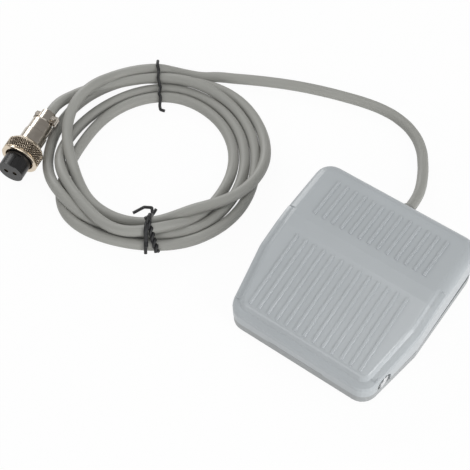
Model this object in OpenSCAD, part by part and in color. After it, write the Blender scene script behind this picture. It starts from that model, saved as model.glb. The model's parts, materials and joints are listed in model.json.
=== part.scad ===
// Light-duty foot switch: a hinged treadle over a cast base, a snap-action switch
// inside, and a lead that is wound, tied and ended in a round two-pole plug.
// X runs across the foot, +Y towards the toe and the cord, +Z up.
// The origin lies in the middle of the pedal, on the floor.

/* [Pedal outline] */
// Width across the foot
pedal_w = 105; // [100:1:112]
// Length from heel to toe
pedal_l = 109; // [105:1:116]
// Width at the heel end, where the sides have drawn in
heel_w = 91.6; // [88:0.4:96]
// How far heelward of the middle the sides start to draw in
taper_start = 13; // [8:1:18]
// Corner radius in plan
corner_r = 10; // [9.5:0.5:12]
// Radius that softens the kink in each side
kink_r = 14; // [10:1:20]

/* [Treadle] */
// Height of the flat toe deck
deck_h = 32.4; // [31.8:0.1:34]
// Slope of the heel deck, degrees
heel_slope = 11.5; // [10:0.5:12]
// Where the two decks would meet, toeward of the middle
deck_meet = 7.5; // [6:0.5:8.5]
// Half the length of the blend between the decks
deck_blend = 4; // [2:0.5:5]
// Wall thickness of the moulding
wall = 2.4; // [2:0.1:2.8]
// Width of the rounded rim between the side and the deck
rim_w = 7.2; // [6.6:0.1:7.6]
// Height over which the toe half's edge is rounded
toe_edge_h = 5; // [4:0.5:6]
// Radius of the heel ledge's outer edge
ledge_r = 2.6; // [2:0.1:3]
// Width of the flat on the heel ledge
ledge_w = 1.6; // [1:0.1:2]
// Drop from the deck to the ledge at the heel
ledge_drop = 3.6; // [3:0.1:4]
// Drop from the deck to the ledge where the ledge ends
ledge_drop_end = 1.1; // [0.8:0.1:1.5]
// Where the ledge ends, toeward of the middle
ledge_end = 15.2; // [14.6:0.1:17]
// Grip ribs across each deck
rib_n = 13; // [9:2:13]
// Spacing of the ribs
rib_pitch = 6; // [5.5:0.1:6.2]
// Width of a rib
rib_w = 1.3; // [1:0.1:1.8]
// Height of a rib above the deck
rib_h = 0.6; // [0.4:0.1:1]
// Heel end of the heel deck's ribs, back from the middle
heel_rib_back = 47; // [40:1:47]
// Toe end of the heel deck's ribs, forward of the middle
heel_rib_front = 1; // [-4:0.5:3]
// Heel end of the toe deck's ribs
toe_rib_back = 17; // [14:0.5:20]
// Toe end of the toe deck's ribs
toe_rib_front = 44; // [38:1:46]

/* [Pivot and travel] */
// Distance of the pivot axis heelward of the middle
pivot_back = 40; // [38:0.5:41]
// Height of the pivot axis
pivot_h = 11.6; // [11.4:0.1:12]
// Travel of the treadle, degrees
travel = 3.2; // [2.6:0.1:3.4]
// Diameter of the pivot bolts
pivot_d = 4; // [3:0.5:4]
// Radius of the recess round each bolt head
recess_r = 5.2; // [5:0.1:5.4]
// Depth from the pedal's widest side to the recess floor
recess_x = 44.9; // [44.6:0.1:45.1]
// Thickness of the treadle's cheek at the pivot
cheek_t = 3; // [2.6:0.1:3.2]
// Seam between skirt and base at the heel
seam = 0.25; // [0.2:0.05:0.5]
// Gap left under the toe of the skirt when pressed
toe_gap = 1; // [0.8:0.1:1.4]

/* [Base] */
// How far the rubber feet stand proud
foot_proud = 0.8; // [0.6:0.1:1.5]
// Thickness of the base's floor
floor_t = 2.4; // [2:0.1:2.6]
// Height of the base's outer rim
rim_h = 7; // [6.6:0.1:7.1]
// How far the base stands inside the treadle's outline
base_inset = 0.3; // [0:0.1:0.6]
// Gap between the skirt and the base's inner lip
lip_gap = 1.2; // [1:0.1:1.6]
// Thickness of the inner lip
lip_t = 1.8; // [1.5:0.1:2.2]
// Height of the inner lip
lip_h = 10.4; // [9:0.1:10.6]
// Diameter of a rubber foot
foot_d = 12.6; // [10:0.2:14]

/* [Stops and springs] */
// Distance of each stop screw from the middle line
stop_x = 22; // [20:0.5:25]
// Distance of the stop screws toeward of the middle
stop_y = 42; // [40:0.5:42]
// Diameter of the stop screws
stop_d = 4; // [3:0.5:4]
// Height of the stop towers
tower_h = 14; // [13.5:0.1:14.4]
// Outer diameter of a return spring
spring_d = 10.4; // [9:0.2:11]
// Diameter of the spring wire
spring_wire = 1; // [0.8:0.1:1.2]
// Turns of a return spring
spring_turns = 6; // [5:1:7]
// Distance of each spring from the middle line
spring_x = 30; // [26:1:32]
// Distance of the springs toeward of the middle
spring_y = 22; // [18:1:24]

/* [Snap-action switch] */
// Length of the switch
switch_l = 27.8; // [27.6:0.1:28.2]
// Height of the switch
switch_h = 15.9; // [15.7:0.1:16]
// Thickness of the switch
switch_t = 10.3; // [10:0.1:10.8]
// Heel end of the switch, toeward of the middle
switch_y = 5; // [4.8:0.1:5.4]
// Underside of the switch above the floor
switch_z = 8; // [7.9:0.1:8.1]
// Diameter of the screws that hold the switch
switch_screw_d = 3; // [2.6:0.1:3]
// Thickness of the steel bracket
bracket_t = 1.5; // [1.2:0.1:2]
// Slope of the lever at rest, degrees
lever_slope = 8.6; // [8.4:0.1:8.8]
// Toe end of the lever
lever_end = 31.5; // [30.5:0.1:31.8]
// Where the treadle's striker meets the lever
striker_y = 29; // [28:0.5:29.5]

/* [Cord] */
// Diameter of the cord
cord_d = 6.8; // [6.4:0.1:7.2]
// Height of the cord where it leaves the base
cord_h = 7.6; // [7.5:0.1:7.8]
// Length of the strain relief outside the base
relief_l = 12.5; // [11:0.5:13]
// Diameter of the strain relief's neck
relief_d = 9.6; // [9.2:0.1:10]
// Inner radius of the wound cord
coil_in = 45; // [44.6:0.1:45.4]
// Outer radius of the wound cord
coil_out = 69; // [68.6:0.1:69.2]
// Thickness of the twist ties
tie_d = 1.6; // [1.2:0.1:1.8]

/* [Plug] */
// Diameter of the coupling ring
ring_d = 24; // [23:0.2:24]
// Length of the coupling ring
ring_l = 11.5; // [10.5:0.5:12]
// Diameter of the barrel
barrel_d = 15.4; // [15:0.1:15.6]
// Length of the barrel with its cable clamp
barrel_l = 37; // [36:0.5:38]
// Diameter of the insulating insert
insert_d = 16.6; // [16.4:0.1:17]
// Overall length of the plug
plug_l = 48.8; // [47:0.4:50]
// Spacing of the two contacts
contact_pitch = 6; // [5.6:0.1:6.4]

/* [Hidden] */
$fn = 48;
cut = 0.1;            // how far a cut runs past a face
run_fit = 0.05;       // radial clearance of pins and screws
air = 0.3;            // clearance between neighbours that must not touch

half_w = pedal_w / 2;
half_l = pedal_l / 2;
taper_a = atan((half_w - heel_w / 2) / (half_l - taper_start));
floor_z = foot_proud + floor_t;
cord_r = cord_d / 2;

grey_treadle = [0.70, 0.73, 0.75];
grey_base = [0.62, 0.63, 0.63];
grey_cord = [0.58, 0.58, 0.56];
steel = [0.78, 0.79, 0.80];
brass = [0.80, 0.64, 0.30];
black = [0.07, 0.07, 0.07];

// ---------------------------------------------------------------- outline
function arc(c, r, a0, a1, n) =
  [for (i = [0:n]) let (a = a0 + (a1 - a0) * i / n) c + r * [cos(a), sin(a)]];

// Centres of the three arcs on the right side, which the left side mirrors
heel_c = [
  half_w + (-corner_r + (corner_r - half_l + taper_start) * sin(taper_a)) / cos(taper_a),
  corner_r - half_l
];
kink_c = [half_w - kink_r, -taper_start + kink_r * tan(taper_a / 2)];
toe_c = [half_w - corner_r, half_l - corner_r];

// Creases and the end of the ledge fall on the straight part of the side
ledge_ramp = 0.8;
side_ys = [deck_meet - deck_blend, deck_meet + deck_blend, ledge_end - ledge_ramp, ledge_end];

// Points of the right side from heel to toe. The inset of each is dist(y),
// so that a rim can change its width along the side.
function place(c, r, a, inset) = c + (r - inset) * [cos(a), sin(a)];
corner_n = 6;
kink_n = 2;
side_frames = concat(
  [for (i = [0:corner_n]) [heel_c, corner_r, -90 + (90 - taper_a) * i / corner_n]],
  [for (i = [0:kink_n]) [kink_c, kink_r, -taper_a * (1 - i / kink_n)]],
  [for (y = side_ys) [[half_w - corner_r, y], corner_r, 0]],
  [for (i = [0:corner_n]) [toe_c, corner_r, 90 * i / corner_n]]
);
side_n = len(side_frames);
crease_i = corner_n + 1 + kink_n + 1;       // index of the first crease point

function frame_pt(f, inset) = place(f[0], f[1], f[2], inset);
function mirrored(pts) = [for (i = [len(pts) - 1:-1:0]) [-pts[i][0], pts[i][1]]];
function outline(inset) =
  let (right = [for (f = side_frames) frame_pt(f, inset)]) concat(right, mirrored(right));

// ---------------------------------------------------------------- decks
function heel_deck_z(y) = deck_h - (deck_meet - y) * tan(heel_slope);
blend_z = heel_deck_z(deck_meet - deck_blend);
function deck_z(y) =
  y <= deck_meet - deck_blend ? heel_deck_z(y)
  : y >= deck_meet + deck_blend ? deck_h
  : blend_z + (deck_h - blend_z) * (y - deck_meet + deck_blend) / (2 * deck_blend);
function drop(y) =
  ledge_drop_end + (ledge_drop - ledge_drop_end) * (ledge_end - y) / (ledge_end + half_l);
function ledge_z(y) = deck_z(y) - drop(y);
// 1 where the heel ledge runs, 0 on the plain toe half
function ledged(y) = y >= ledge_end - 0.001 ? 0 : min(1, (ledge_end - y) / ledge_ramp);

// Rim profiles, each point an inset and a depth below the deck
step_w = rim_w - ledge_r - ledge_w;
function heel_profile(y) =
  let (d = drop(y), in = ledge_r + ledge_w) [
    [0, d + ledge_r], [0.29 * ledge_r, d + 0.29 * ledge_r], [ledge_r, d],
    [in, d * 0.94], [in + 0.25 * step_w, d * 0.58], [in + 0.45 * step_w, d * 0.24],
    [in + 0.7 * step_w, d * 0.06], [rim_w, 0]
  ];
toe_profile = [for (a = [0, 12, 24, 36, 48, 60, 74, 90])
  [rim_w * (1 - cos(a)), toe_edge_h * (1 - sin(a))]];
core_in = rim_w + wall / 2;                 // where the cavity's ceiling starts
function heel_core(y) =
  let (d = drop(y)) [
    [wall, d + ledge_r + 0.6], [wall + 0.6 * ledge_r, d + wall],
    [(wall + rim_w) * 0.62, d * 0.75 + wall], [core_in, wall]
  ];
toe_core = [
  [wall, toe_edge_h + 1], [wall + 1, toe_edge_h - 0.8], [rim_w - 1.2, wall + 0.7], [core_in, wall]
];
function mix(a, b, t) = a * (1 - t) + b * t;

// A ring of points at one step of the rim profile
function rim_ring(heel, toe, j) =
  let (right = [for (f = side_frames)
    let (y = frame_pt(f, 0)[1],
         p = mix(toe[j], (heel == 0 ? heel_profile(y) : heel_core(y))[j], ledged(y)),
         q = frame_pt(f, p[0]))
      [q[0], q[1], deck_z(q[1]) - p[1]]])
  concat(right, [for (i = [side_n - 1:-1:0]) [-right[i][0], right[i][1], right[i][2]]]);
function skirt_ring(inset) = [for (p = outline(inset)) [p[0], p[1], skirt_low(p[1])]];

// One skin of the shell: its sides through rings of equal length, and a ceiling
// of three planes that meet along the two creases of the deck. at is the index of
// its first point.
function skin_sides(at, m, n) = [for (j = [0:m - 2], k = [0:n - 1]) each
  let (a = at + j * n + k, b = at + j * n + (k + 1) % n) [[a, a + n, b + n], [a, b + n, b]]];
function skin_top(at, m, n, c) = let (top = at + (m - 1) * n) [
  [for (k = [c:-1:-c - 1]) top + (k + n) % n],
  [top + c, top + n - 1 - c, top + n - 2 - c, top + c + 1],
  [for (k = [n / 2 - 1:-1:c + 1]) top + k, for (k = [n - 2 - c:-1:n / 2]) top + k]
];
function flipped(faces) = [for (f = faces) [for (i = [len(f) - 1:-1:0]) f[i]]];

// An open-bottomed shell between an outer and an inner stack of rings
module decked_shell(outer, inner) {
  n = 2 * side_n;
  mo = len(outer);
  mi = len(inner);
  at = mo * n;
  polyhedron(
    points = concat([for (r = outer) each r], [for (r = inner) each r]),
    faces = concat(
      skin_sides(0, mo, n), skin_top(0, mo, n, crease_i),
      flipped(skin_sides(at, mi, n)), flipped(skin_top(at, mi, n, crease_i)),
      [for (k = [0:n - 1]) each let (b = (k + 1) % n) [[k, b, at + b], [k, at + b, at + k]]]
    )
  );
}

// ---------------------------------------------------------------- treadle
skirt_z = rim_h + seam;
rise_a = atan((toe_gap - seam + (half_l + pivot_back) * sin(travel)) / (half_l + pivot_back));
function skirt_low(y) = skirt_z + max(0, y + pivot_back) * tan(rise_a);
function fall(y) = (y + pivot_back) * sin(travel);      // how far a point drops when pressed
ceiling_z = deck_h - wall;

stop_boss_d = 9;
land_gap = 0.1;
boss_z = tower_h + fall(stop_y + stop_boss_d / 2) + land_gap;   // it lands on the towers
stop_head_d = 7.6;
stop_head_h = 2.6;
tower_roof = 2;
stop_screw_l = 14;
spigot_d = spring_d - 2 * spring_wire - 2 * air;
spring_top = ceiling_z - 0.3;

slot_w = 36;
slot_h = 0.7;
gate_w = 18;                                            // the base's gate for the cord
gate_h = 13.6;
notch_w = gate_w + 2.4;
notch_z = gate_h + fall(half_l) + 0.6;

module rib_row(y0, y1) {
  for (i = [0:rib_n - 1])
    translate([(i - (rib_n - 1) / 2) * rib_pitch, 0]) {
      translate([-rib_w / 2, y0 + rib_w / 2]) square([rib_w, y1 - y0 - rib_w]);
      for (y = [y0 + rib_w / 2, y1 - rib_w / 2]) translate([0, y]) circle(d = rib_w, $fn = 24);
    }
}

module ribs() {
  rib_root = 0.5;
  heel_len = (heel_rib_front + heel_rib_back) / cos(heel_slope);
  translate([0, -heel_rib_back, deck_z(-heel_rib_back)]) rotate([heel_slope, 0, 0])
    translate([0, 0, -rib_root]) linear_extrude(rib_root + rib_h) rib_row(0, heel_len);
  translate([0, 0, deck_h - rib_root]) linear_extrude(rib_root + rib_h)
    rib_row(toe_rib_back, toe_rib_front);
}

// Thick cheeks behind the bolt recesses, inside the skirt
module cheeks() {
  cheek_w = 13;
  foot_z = skirt_low(cheek_w / 2 - pivot_back);
  for (s = [-1, 1])
    translate([s > 0 ? recess_x - cheek_t : -recess_x - 1, -pivot_back - cheek_w / 2, foot_z])
      cube([cheek_t + 1, cheek_w, ledge_z(-pivot_back) - wall / 2 - foot_z]);
}

module treadle_bosses() {
  for (s = [-1, 1]) {
    translate([s * stop_x, stop_y, boss_z]) cylinder(d = stop_boss_d, h = ceiling_z + 0.5 - boss_z);
    translate([s * spring_x, spring_y, ceiling_z - 5]) cylinder(d = spigot_d, h = 5.5);
  }
  translate([-3, striker_y - 1, striker_z]) cube([6, 2, ceiling_z + 0.5 - striker_z]);
}

// Two long ribs that stiffen the heel deck from below
module stiffeners() {
  stiff_x = 20;
  stiff_t = 1.6;
  for (s = [-1, 1])
    translate([s * stiff_x - stiff_t / 2, 0, 0]) rotate([90, 0, 90]) linear_extrude(stiff_t)
      polygon([
        [-pivot_back - 4, heel_deck_z(-pivot_back - 4) - wall - 3],
        [deck_meet - deck_blend, blend_z - wall - 3],
        [deck_meet - deck_blend, blend_z - wall + 0.4],
        [-pivot_back - 4, heel_deck_z(-pivot_back - 4) - wall + 0.4]
      ]);
}

module treadle() color(grey_treadle)
  difference() {
    union() {
      decked_shell(
        concat([skirt_ring(0)], [for (j = [0:7]) rim_ring(0, toe_profile, j)]),
        concat([skirt_ring(wall)], [for (j = [0:3]) rim_ring(1, toe_core, j)])
      );
      ribs();
      cheeks();
      treadle_bosses();
      stiffeners();
    }
    for (s = [-1, 1]) {
      // recess round the bolt head, open at the skirt's edge
      translate([s > 0 ? recess_x : -recess_x - 10, -pivot_back, pivot_h]) rotate([0, 90, 0])
        cylinder(r = recess_r, h = 10);
      translate([s > 0 ? recess_x : -recess_x - 10, -pivot_back - recess_r, 0])
        cube([10, 2 * recess_r, pivot_h]);
      translate([s * stop_x, stop_y, boss_z - cut])
        cylinder(d = stop_d + 2 * run_fit, h = stop_screw_l - 4);
    }
    translate([-half_w, -pivot_back, pivot_h]) rotate([0, 90, 0])
      cylinder(d = pivot_d + 2 * run_fit, h = pedal_w);
    // finger slot in the heel seam and the notch that clears the cord
    translate([-slot_w / 2, -half_l - 1, skirt_z - cut]) cube([slot_w, wall + 2, slot_h + cut]);
    translate([0, half_l + 1, 0]) rotate([90, 0, 0]) linear_extrude(corner_r) polygon(notch_outline());
  }

// The cord notch in the toe of the skirt, with rounded shoulders
function notch_outline() =
  let (r = (notch_w - gate_w) / 2 + 0.3, x = notch_w / 2 - r, z = notch_z - r)
  concat([[-notch_w / 2, 0], [notch_w / 2, 0]], arc([x, z], r, 0, 90, 5), arc([-x, z], r, 90, 180, 5));

module pan_screw(d, head_d, head_h, l) {
  cylinder(d = head_d, h = head_h);
  translate([0, 0, head_h - 0.01]) cylinder(d = d, h = l + 0.01);
}

module cross_recess(w, depth) {
  for (a = [0, 90]) rotate(a) translate([-w / 2, -w / 8, -cut]) cube([w, w / 4, depth + cut]);
}

module stop_screws() color(steel)
  for (s = [-1, 1])
    translate([s * stop_x, stop_y, tower_h - tower_roof - stop_head_h - run_fit]) difference() {
      pan_screw(stop_d, stop_head_d, stop_head_h, stop_screw_l);
      cross_recess(4, 1.4);
    }

// ---------------------------------------------------------------- base
lip_in = wall + lip_gap;
lug_r = 5.4;
lug_in = 35;
lug_out = recess_x - cheek_t - air;
tower_d = 13;
cup_d = 15;
post_d = 7;
bracket_post_x = -14;
bracket_edge = 6;
post_in = 3.9;
bracket_posts = [switch_y + post_in, switch_y + switch_l - post_in];
clamp_x = 8.6;
clamp_post_h = cord_h + 1.4;
gate_in = half_l - lip_in - lip_t - 1;
clamp_y = gate_in - 6.6;
gland_flange = 1.4;
gland_step = 0.9;
foot_pocket = 1;
feet = [[-40, 41], [40, 41], [-33, -45], [33, -45]];

module pivot_lug() {
  translate([lug_in, -pivot_back, pivot_h]) rotate([0, 90, 0]) cylinder(r = lug_r, h = lug_out - lug_in);
  translate([lug_in, -pivot_back - lug_r, floor_z - 0.5])
    cube([lug_out - lug_in, 2 * lug_r, pivot_h - floor_z + 0.5]);
  // gusset towards the toe
  translate([(lug_in + lug_out) / 2 - 1, 0, 0]) rotate([90, 0, 90]) linear_extrude(2) polygon([
    [-pivot_back, floor_z - 0.5], [-pivot_back + lug_r + 8, floor_z - 0.5],
    [-pivot_back + lug_r, pivot_h], [-pivot_back, pivot_h]
  ]);
}

module base_shell() color(grey_base)
  difference() {
    union() {
      difference() {
        union() {
          translate([0, 0, foot_proud]) linear_extrude(rim_h - foot_proud)
            polygon(outline(base_inset));
          translate([0, 0, foot_proud]) linear_extrude(lip_h - foot_proud)
            polygon(outline(lip_in));
        }
        translate([0, 0, floor_z]) linear_extrude(lip_h) polygon(outline(lip_in + lip_t));
        // the lip stops short of the treadle's cheeks
        for (s = [-1, 1])
          translate([s > 0 ? lug_out : -half_w - 1, -pivot_back - 8, rim_h])
            cube([half_w + 1 - lug_out, 16, lip_h]);
      }
      pivot_lug();
      mirror([1, 0, 0]) pivot_lug();
      for (s = [-1, 1]) {
        translate([s * stop_x, stop_y, foot_proud]) cylinder(d = tower_d, h = tower_h - foot_proud);
        translate([s * spring_x, spring_y, foot_proud]) difference() {
          cylinder(d = cup_d, h = floor_t + 3);
          translate([0, 0, floor_t]) cylinder(d = spring_d + 2 * air, h = 4);
        }
        translate([s * clamp_x, clamp_y, foot_proud])
          cylinder(d = post_d, h = clamp_post_h - foot_proud);
      }
      for (y = bracket_posts)
        translate([bracket_post_x, y, foot_proud]) cylinder(d = post_d, h = floor_z + 1.5 - foot_proud);
      translate([-gate_w / 2, gate_in, foot_proud])
        cube([gate_w, half_l - base_inset - gate_in, gate_h - foot_proud]);
      // a low saddle under the cord at its clamp
      translate([-3, clamp_y - 3, foot_proud]) cube([6, 6, cord_h - cord_r - foot_proud]);
    }
    translate([lug_in - cut, -pivot_back, pivot_h]) rotate([0, 90, 0])
      cylinder(d = pivot_d + 2 * run_fit, h = 20);
    translate([-lug_in + cut, -pivot_back, pivot_h]) rotate([0, -90, 0])
      cylinder(d = pivot_d + 2 * run_fit, h = 20);
    for (s = [-1, 1]) {
      translate([s * stop_x, stop_y, 0])
        cylinder(d = stop_head_d + 1.6, h = tower_h - tower_roof);
      translate([s * stop_x, stop_y, 0]) cylinder(d = stop_d + 1.4, h = tower_h + 1);
      translate([s * clamp_x, clamp_y, floor_z])
        cylinder(d = clamp_screw_d + 2 * run_fit, h = clamp_post_h);
    }
    for (y = bracket_posts)
      translate([bracket_post_x, y, foot_proud + 0.8])
        cylinder(d = bracket_screw_d + 2 * run_fit, h = floor_z + 2);
    translate([0, gate_in - gland_flange - run_fit, cord_h]) rotate([-90, 0, 0]) {
      cylinder(d = relief_d + 2 * run_fit, h = half_l);
      cylinder(r = relief_d / 2 + gland_step + run_fit, h = gland_flange + run_fit);
    }
    for (p = feet) translate([p[0], p[1], 0]) cylinder(d = foot_d + 2 * run_fit, h = foot_proud + foot_pocket);
  }

module rubber_feet() color(black)
  for (p = feet) translate([p[0], p[1], 0]) {
    cylinder(d1 = foot_d - 1, d2 = foot_d, h = foot_proud);
    translate([0, 0, foot_proud - 0.01]) cylinder(d = foot_d, h = foot_pocket + 0.01);
  }

// ---------------------------------------------------------------- pivots
washer_d = 8.6;
washer_t = 0.8;
bolt_head = 1.75 * pivot_d;   // across the flats
bolt_head_h = 2.6;
nut_t = 3;
nut_gap = 0.05;

module hex(af, h) cylinder(d = af / cos(30), h = h, $fn = 6);
module at_pivot(s, x) translate([s * x, -pivot_back, pivot_h]) rotate([0, s * 90, 0]) children();

module pivot_bolts() color(steel)
  for (s = [-1, 1]) at_pivot(s, lug_in - nut_t - 1) {
    shank_l = recess_x + washer_t - (lug_in - nut_t - 1);
    cylinder(d = pivot_d, h = shank_l + 0.5);
    translate([0, 0, shank_l]) intersection() {
      hex(bolt_head, bolt_head_h);
      cylinder(d1 = bolt_head * 1.5, d2 = bolt_head * 1.02, h = bolt_head_h);
    }
  }

module ring(d_out, d_in, h) difference() {
  cylinder(d = d_out, h = h);
  translate([0, 0, -cut]) cylinder(d = d_in, h = h + 2 * cut);
}

module pivot_washers() color(steel)
  for (s = [-1, 1]) at_pivot(s, recess_x + nut_gap)
    ring(washer_d, pivot_d + 2 * run_fit, washer_t - nut_gap);

module pivot_nuts() color(steel)
  for (s = [-1, 1]) at_pivot(s, lug_in - nut_t) difference() {
    hex(bolt_head, nut_t);
    translate([0, 0, -cut]) cylinder(d = pivot_d + 2 * run_fit, h = nut_t + 2 * cut);
  }

// ---------------------------------------------------------------- springs
function unit(v) = v / norm(v);
function tangent(p, i) = unit(p[min(i + 1, len(p) - 1)] - p[max(i - 1, 0)]);
function section(p, i, r, n) =
  let (t = tangent(p, i), s = unit(cross(t, [0, 0, 1])), u = cross(s, t))
    [for (k = [0:n - 1]) p[i] + r * (cos(360 * k / n) * s + sin(360 * k / n) * u)];

module tube_along(p, d, n) {
  m = len(p);
  polyhedron(
    points = [for (i = [0:m - 1]) each section(p, i, d / 2, n)],
    faces = concat(
      [[for (k = [0:n - 1]) k]],
      [for (i = [0:m - 2], k = [0:n - 1]) each
        let (a = i * n + k, b = i * n + (k + 1) % n) [[a, a + n, b + n], [a, b + n, b]]],
      [[for (k = [n - 1:-1:0]) (m - 1) * n + k]]
    )
  );
}

module return_springs() color(steel)
  for (s = [-1, 1]) translate([s * spring_x, spring_y, 0]) {
    r = (spring_d - spring_wire) / 2;
    z0 = floor_z + spring_wire / 2;
    z1 = spring_top - spring_wire / 2;
    steps = 12 * spring_turns;
    tube_along([for (i = [0:steps]) let (t = i / steps, e = min(1, max(0, (t * spring_turns - 0.8)
      / (spring_turns - 1.6)))) [r * cos(30 * i), r * sin(30 * i), z0 + 0.02 * i / steps + (z1 - z0) * e]],
      spring_wire, 6);
  }

// ---------------------------------------------------------------- snap-action switch
switch_top = switch_z + switch_h;
case_wall = 1.6;
cover_t = 1.2;
case_x = switch_t / 2;
hole_in = 2.8;
switch_holes = [[switch_y + hole_in, switch_z + hole_in], [switch_y + hole_in + 22.2, switch_z + 13.1]];
cavity_y = [switch_y + 5.8, switch_y + 22];
term_w = 4.8;
term_t = 0.5;
term_l = 4.4;
com_y = switch_y + 7.4;
no_y = switch_y + 14.6;
nc_y = switch_y + 20.8;
hinge_y = switch_y + 1.6;
hinge_z = switch_top + 1.2;
lever_t = 0.5;
lever_w = 4;
eye_d = 2.2;
lever_pin_d = 1;
plunger_y = switch_y + 8.4;
plunger_d = 3;
plunger_out = 1.6;
striker_z = hinge_z + lever_t / 2 / cos(lever_slope)
  + (striker_y + 1 - hinge_y) * tan(lever_slope) + 0.15;
blade_z = switch_z + 7.4;
rivet_d = 2.6;
rivet_y = switch_y + 18.6;
nc_arm_z = blade_z + 1.85;
no_arm_z = blade_z - 3;

module across_switch(x0, x1, p, d) translate([x0, p[0], p[1]]) rotate([0, 90, 0]) cylinder(d = d, h = x1 - x0);

module switch_case() color(black)
  difference() {
    union() {
      translate([-case_x, switch_y, switch_z]) cube([switch_t - cover_t, switch_l, switch_h]);
      for (s = [-1, 1])
        translate([s > 0 ? lever_w / 2 + 0.2 : -lever_w / 2 - 1.6, hinge_y - 1.1, switch_top - 0.5])
          cube([1.4, 2.2, hinge_z - switch_top + 1.4]);
    }
    translate([-case_x + case_wall, cavity_y[0], switch_z + case_wall])
      cube([switch_t, cavity_y[1] - cavity_y[0], switch_h - 2 * case_wall]);
    for (p = switch_holes) across_switch(-case_x - cut, case_x, p, switch_screw_d + 2 * run_fit);
    across_switch(-case_x, case_x, [hinge_y, hinge_z], lever_pin_d);
    translate([0, plunger_y, switch_top - case_wall - cut])
      cylinder(d = plunger_d + 2 * run_fit, h = case_wall + 2 * cut);
    for (y = [com_y, no_y, nc_y])
      translate([-term_w / 2, y - term_t / 2, switch_z - cut]) cube([term_w, term_t, case_wall + 2 * cut]);
  }

module switch_cover() color(black)
  difference() {
    translate([case_x - cover_t, switch_y, switch_z]) cube([cover_t, switch_l, switch_h]);
    for (p = switch_holes) across_switch(0, case_x + cut, p, switch_screw_d + 2 * run_fit);
  }

module terminal(y, arm_z, arm_y) color(brass)
  difference() {
    union() {
      translate([-term_w / 2, y - term_t / 2, switch_z - term_l])
        cube([term_w, term_t, arm_z + term_t - switch_z + term_l]);
      translate([-term_w / 2, min(y, arm_y), arm_z]) cube([term_w, abs(arm_y - y), term_t]);
    }
    translate([0, y - 1, switch_z - term_l + 1.6]) rotate([-90, 0, 0]) cylinder(d = 1.4, h = 2);
  }

module terminal_com() {
  terminal(com_y, blade_z - 1.4 - term_t, com_y + 2);
}
module terminal_no() {
  terminal(no_y, no_arm_z, rivet_y + 1.2);
  color(brass) translate([0, rivet_y, no_arm_z + term_t]) cylinder(d = rivet_d, h = 0.8);
}
module terminal_nc() {
  terminal(nc_y, nc_arm_z, rivet_y - 1.2);
  color(brass) translate([0, rivet_y, nc_arm_z - 0.8]) cylinder(d = rivet_d, h = 0.8);
}

// The blade rocks on the common terminal's shelf
module contact_blade() color(brass) {
  blade_t = 0.3;
  translate([0, com_y + 1, blade_z - 0.62]) rotate([0, 90, 0]) translate([0, 0, -1.8]) cylinder(d = 1.4, h = 3.6);
  translate([-1.8, com_y + 1, blade_z - blade_t / 2]) cube([3.6, rivet_y - com_y, blade_t]);
  translate([0, rivet_y, blade_z - 0.9]) cylinder(d = rivet_d, h = 1.9);
}

module switch_plunger() color([0.75, 0.2, 0.15]) {
  dome_r = 3;
  stem = case_wall + plunger_out + 1.2;
  translate([0, plunger_y, switch_top - case_wall - 1.2]) {
    intersection() {
      cylinder(d = plunger_d, h = stem);
      translate([0, 0, stem - dome_r]) sphere(r = dome_r);
    }
    cylinder(d = plunger_d, h = stem - 0.6);
    cylinder(d = plunger_d + 1.4, h = 1);
  }
}

module lever_pin() color(steel)
  across_switch(-lever_w / 2 - 1.6, lever_w / 2 + 1.6, [hinge_y, hinge_z], lever_pin_d);

module switch_lever() color(steel)
  translate([0, hinge_y, hinge_z]) rotate([lever_slope, 0, 0]) difference() {
    union() {
      rotate([0, 90, 0]) translate([0, 0, -lever_w / 2]) cylinder(d = eye_d, h = lever_w);
      translate([-lever_w / 2, 0, -lever_t / 2])
        cube([lever_w, (lever_end - hinge_y) / cos(lever_slope), lever_t]);
    }
    rotate([0, 90, 0]) translate([0, 0, -lever_w / 2 - cut])
      cylinder(d = lever_pin_d + 2 * run_fit, h = lever_w + 2 * cut);
  }

// ---------------------------------------------------------------- bracket and screws
bracket_z = floor_z + 1.5;
bracket_x = -case_x - bracket_t;
bracket_y0 = switch_y - 1;
bracket_y1 = switch_y + switch_l + 1;
bracket_screw_d = 3;
clamp_screw_d = 3;
bend_r = 2;

module switch_bracket() color(steel)
  difference() {
    foot_x = bracket_post_x - bracket_edge;
    translate([0, bracket_y1, 0]) rotate([90, 0, 0]) linear_extrude(bracket_y1 - bracket_y0) difference() {
      translate([foot_x, bracket_z]) square([-foot_x - case_x, switch_top + 0.4 - bracket_z]);
      difference() {
        translate([foot_x - 1, bracket_z + bracket_t]) square([bracket_x - foot_x + 1, switch_h + 20]);
        translate([bracket_x - bend_r, bracket_z + bracket_t]) difference() {
          square(bend_r);
          translate([0, bend_r]) circle(r = bend_r);
        }
      }
      translate([-case_x - bend_r - bracket_t, bracket_z]) difference() {
        square(bend_r + bracket_t);
        translate([0, bend_r + bracket_t]) circle(r = bend_r + bracket_t);
      }
    }
    for (p = switch_holes) across_switch(bracket_x - 1, -case_x + 1, p, switch_screw_d + 2 * run_fit);
    for (y = bracket_posts) translate([bracket_post_x, y, bracket_z - 1])
      cylinder(d = bracket_screw_d + 2 * run_fit, h = bracket_t + 2);
  }

module bracket_screws() color(steel)
  for (y = bracket_posts)
    translate([bracket_post_x, y, bracket_z + bracket_t + 1.8]) rotate([180, 0, 0]) difference() {
      pan_screw(bracket_screw_d, 5.6, 1.8, 4.4);
      cross_recess(3, 1);
    }

switch_nut_t = 0.8 * switch_screw_d;
nut_x = bracket_x - switch_nut_t;
module switch_screws() color(steel)
  for (p = switch_holes)
    translate([case_x + 2, p[0], p[1]]) rotate([0, -90, 0]) difference() {
      pan_screw(switch_screw_d, 5.4, 2, case_x - nut_x + 0.6);
      cross_recess(3, 1);
    }

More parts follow.
